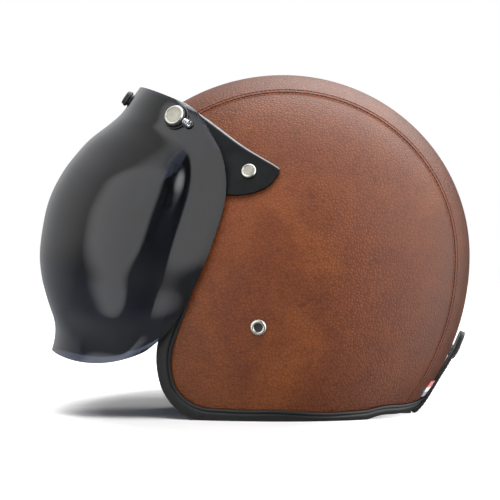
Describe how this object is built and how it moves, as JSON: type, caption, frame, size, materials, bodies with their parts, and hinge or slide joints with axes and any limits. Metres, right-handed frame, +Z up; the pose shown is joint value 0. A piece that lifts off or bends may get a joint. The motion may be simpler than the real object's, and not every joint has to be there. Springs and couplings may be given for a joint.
{
  "type": "open face motorcycle helmet",
  "caption": "Open-face riding helmet with leather-covered shell, rubber edge, padded lining, chin strap and a flip-up smoked bubble visor.",
  "frame": {"origin": "centre of the outline seen from above, on the surface the helmet stands on", "axes": "-Y is the way the wearer looks, +Z is up, +X is the wearer's left"},
  "size_m": [0.236, 0.3222, 0.2533],
  "materials": {
    "leather": "fine grain, satin",
    "leather_welt": "satin",
    "shell_plastic": "matt",
    "trim_rubber": "satin",
    "impact_foam": "matt beads",
    "comfort_fabric": "soft knit",
    "nickel": "satin",
    "steel": "satin",
    "webbing": "woven",
    "buckle_plastic": "fine texture",
    "lever_plastic": "fine texture",
    "base_plastic": "satin",
    "smoke_shield": "polished",
    "goggle_strap": "coated",
    "tag_fabric": "woven"
  },
  "bodies": {
    "helmet": {"outer_shell": "shell_plastic", "leather_side_left": "leather", "leather_side_right": "leather", "leather_center_strip": "leather", "seam_welt_left": "leather_welt", "seam_welt_right": "leather_welt", "edge_trim": "trim_rubber", "impact_liner": "impact_foam", "crown_pad": "comfort_fabric", "cheek_pad_left": "comfort_fabric", "cheek_pad_right": "comfort_fabric", "neck_roll": "comfort_fabric", "strap_rivets": "nickel", "chin_strap_left": "webbing", "chin_strap_right": "webbing", "chin_pad": "comfort_fabric", "buckle_tongue": "buckle_plastic", "buckle_housing": "buckle_plastic", "visor_base": "base_plastic", "base_snap_studs": "steel", "base_snap_caps": "nickel", "hinge_pins": "steel", "rear_strap_anchor": "goggle_strap", "rear_snap_stud": "steel", "rear_tag": "tag_fabric"},
    "visor": {"flip_frame": "base_plastic", "shield": "smoke_shield", "slot_ferrules": "buckle_plastic", "slot_springs": "steel", "shield_snap_bodies": "buckle_plastic", "shield_snap_caps": "nickel"},
    "rear_flap": {"rear_strap": "goggle_strap", "rear_snap_cap": "nickel"},
    "lever": {"buckle_lever": "lever_plastic"}
  },
  "joints": [
    {"name": "visor_flip", "type": "hinge", "parent": "helmet", "child": "visor", "pos_m": [0, -0.048, 0.2146], "axis": [-1, 0, 0], "range_deg": [0, 75]},
    {"name": "rear_strap_flap", "type": "hinge", "parent": "helmet", "child": "rear_flap", "pos_m": [0, 0.1185, 0.0022], "axis": [-1, 0, 0], "range_deg": [0, 45]},
    {"name": "buckle_lever_turn", "type": "hinge", "parent": "helmet", "child": "lever", "pos_m": [0.02748, 0.0022, 0.03102], "axis": [0, 1, 0], "range_deg": [0, 30]}
  ]
}
